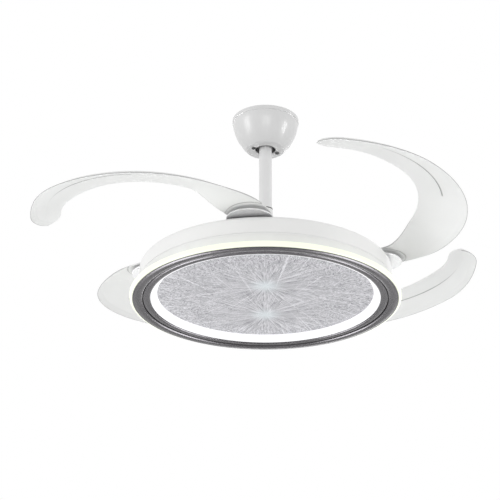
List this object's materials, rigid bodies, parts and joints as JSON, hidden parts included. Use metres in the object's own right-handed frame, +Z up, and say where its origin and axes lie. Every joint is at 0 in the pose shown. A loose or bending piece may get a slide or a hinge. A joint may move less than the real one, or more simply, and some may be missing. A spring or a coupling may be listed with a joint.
{
  "type": "retractable blade ceiling fan with light",
  "caption": "Ceiling fan with a round ceiling canopy, a hanging rod, curved see-through blades that fold in over a round flush lamp, and a glowing ring.",
  "frame": {"origin": "centre of the ceiling bracket's top face, where it meets the ceiling", "axes": "+Z up into the ceiling, along the rod and the rotor's axis; the picture is seen from below along +Y, with +X to its right"},
  "size_m": [0.8262, 0.8262, 0.3818],
  "materials": {
    "white_paint": "gloss white enamel on sheet steel",
    "white_plastic": "satin white moulded ABS",
    "clear_blade": "translucent frosted moulded blade plastic",
    "dark_plating": "smoked dark plating on a moulding",
    "glow_acrylic": "warm lit light-guide acrylic",
    "diffuser": "lit white opal plastic",
    "crystal_acrylic": "clear acrylic with a fine needle texture, lit from behind",
    "zinc_steel": "zinc-plated steel",
    "core_steel": "laminated electrical steel",
    "copper": "enamelled copper wire, taped",
    "magnet": "sintered ferrite, dull dark grey",
    "nylon": "natural nylon",
    "black_plastic": "matt black moulding",
    "cable": "black sheathed lead",
    "aluminium_tray": "plain mill aluminium",
    "board": "white solder mask with rows of LED chips"
  },
  "bodies": {
    "ceiling_mount": {"ceiling_bracket": "zinc_steel", "canopy": "white_paint", "canopy_screw_1": "zinc_steel", "canopy_screw_2": "zinc_steel", "remote_receiver": "black_plastic", "terminal_block": "nylon"},
    "ball_liner": {"ball_liner": "nylon"},
    "suspension": {"hanger_ball": "nylon", "ball_pin": "zinc_steel", "downrod": "white_paint", "yoke_collar": "white_plastic", "clevis_pin": "zinc_steel", "clevis_clip": "zinc_steel", "motor_shaft": "zinc_steel", "stator_core": "core_steel", "winding_upper": "copper", "winding_lower": "copper", "bearing_upper": "zinc_steel", "bearing_lower": "zinc_steel", "supply_lead": "cable", "shaft_nut": "zinc_steel", "lamp_chassis": "white_paint", "led_tray": "aluminium_tray", "led_board": "board", "led_driver": "black_plastic", "motor_controller": "black_plastic", "cover_skirt": "white_plastic", "glow_ring": "glow_acrylic", "trim_ring": "dark_plating", "diffuser_wall": "diffuser", "crystal_plate": "crystal_acrylic", "chassis_screw_1": "zinc_steel", "chassis_screw_2": "zinc_steel", "chassis_screw_3": "zinc_steel"},
    "rotor": {"rotor_cover_upper": "white_paint", "rotor_cover_lower": "white_paint", "magnet_ring": "magnet", "blade_carrier": "zinc_steel", "pivot_bolt_1": "zinc_steel", "pivot_bolt_2": "zinc_steel", "pivot_bolt_3": "zinc_steel", "pivot_bolt_4": "zinc_steel"},
    "blade_arm_1": {"return_spring_1": "zinc_steel", "blade_hub_1": "white_plastic", "blade_1": "clear_blade", "blade_clamp_1": "white_plastic"},
    "blade_arm_2": {"return_spring_2": "zinc_steel", "blade_hub_2": "white_plastic", "blade_2": "clear_blade", "blade_clamp_2": "white_plastic"},
    "blade_arm_3": {"return_spring_3": "zinc_steel", "blade_hub_3": "white_plastic", "blade_3": "clear_blade", "blade_clamp_3": "white_plastic"},
    "blade_arm_4": {"return_spring_4": "zinc_steel", "blade_hub_4": "white_plastic", "blade_4": "clear_blade", "blade_clamp_4": "white_plastic"}
  },
  "joints": [
    {"name": "hang_tilt_x", "type": "hinge", "parent": "ceiling_mount", "child": "ball_liner", "pos_m": [0, 0, -0.031], "axis": [1, 0, 0], "range_deg": [-6, 6]},
    {"name": "hang_tilt_y", "type": "hinge", "parent": "ball_liner", "child": "suspension", "pos_m": [0, 0, -0.031], "axis": [0, 1, 0], "range_deg": [-6, 6]},
    {"name": "rotor_spin", "type": "hinge", "parent": "suspension", "child": "rotor", "pos_m": [0, 0, -0.28], "axis": [0, 0, 1], "continuous": true},
    {"name": "blade_swing_1", "type": "hinge", "parent": "rotor", "child": "blade_arm_1", "pos_m": [0.21023, -0.0273, -0.3], "axis": [0, 0, 1], "range_deg": [-64, 0], "stiffness_Nm_per_rad": 0.18, "springref_deg": -80},
    {"name": "blade_swing_2", "type": "hinge", "parent": "rotor", "child": "blade_arm_2", "pos_m": [0.0273, 0.21023, -0.3], "axis": [0, 0, 1], "range_deg": [-55, 9], "stiffness_Nm_per_rad": 0.18, "springref_deg": -71},
    {"name": "blade_swing_3", "type": "hinge", "parent": "rotor", "child": "blade_arm_3", "pos_m": [-0.21023, 0.0273, -0.3], "axis": [0, 0, 1], "range_deg": [-55, 9], "stiffness_Nm_per_rad": 0.18, "springref_deg": -71},
    {"name": "blade_swing_4", "type": "hinge", "parent": "rotor", "child": "blade_arm_4", "pos_m": [-0.0273, -0.21023, -0.3], "axis": [0, 0, 1], "range_deg": [-64, 0], "stiffness_Nm_per_rad": 0.18, "springref_deg": -80}
  ]
}
